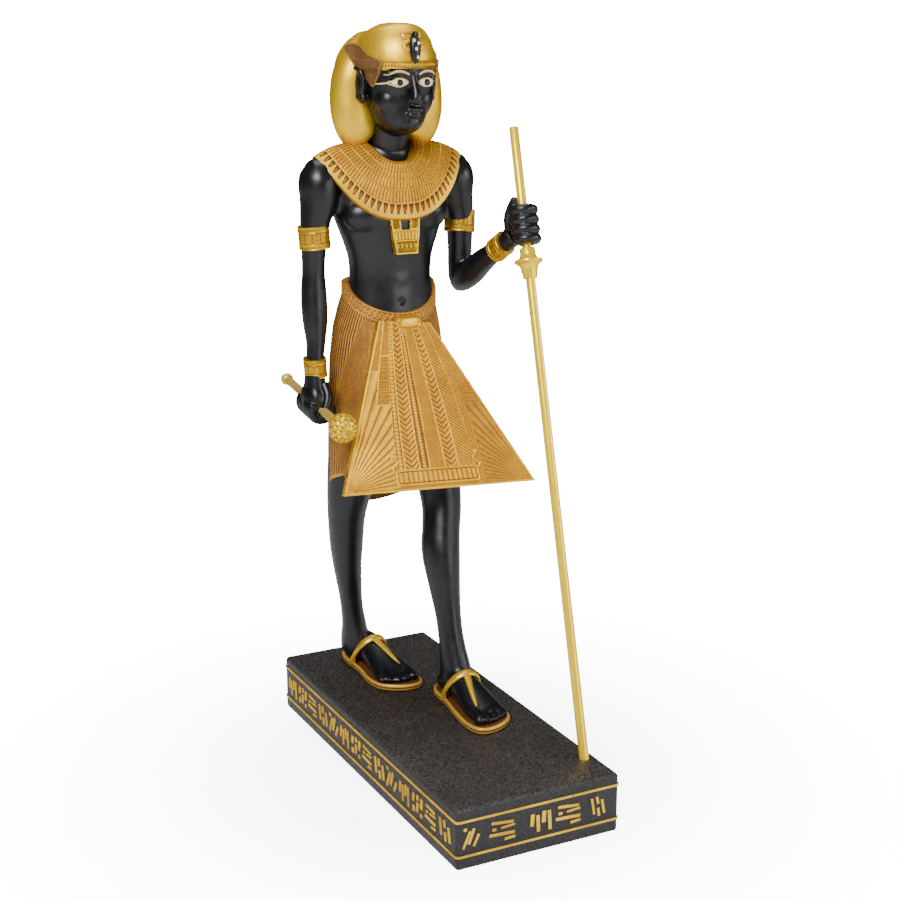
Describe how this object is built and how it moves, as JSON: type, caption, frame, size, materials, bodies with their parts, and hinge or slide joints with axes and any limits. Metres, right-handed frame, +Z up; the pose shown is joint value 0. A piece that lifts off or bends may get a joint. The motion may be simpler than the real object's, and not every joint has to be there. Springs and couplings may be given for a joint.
{
  "type": "pharaoh statue",
  "caption": "Striding ancient Egyptian king in cast resin with a staff and a mace, on a long low plinth.",
  "frame": {"origin": "middle of the plinth's flat underside", "axes": "+Z up, the figure faces -Y along the plinth, its left hand is at +X"},
  "size_m": [0.0888, 0.1746, 0.3103],
  "materials": {
    "plinth": "charcoal painted cast resin with a fine grain and gold painted lines",
    "figure": "near-black satin gloss paint, with antique gold on the dress",
    "staff": "bright satin gilt",
    "mace": "dull antique gilt"
  },
  "bodies": {
    "root": {"plinth": "plinth", "figure": "figure", "staff": "staff", "mace": "mace"}
  },
  "joints": []
}
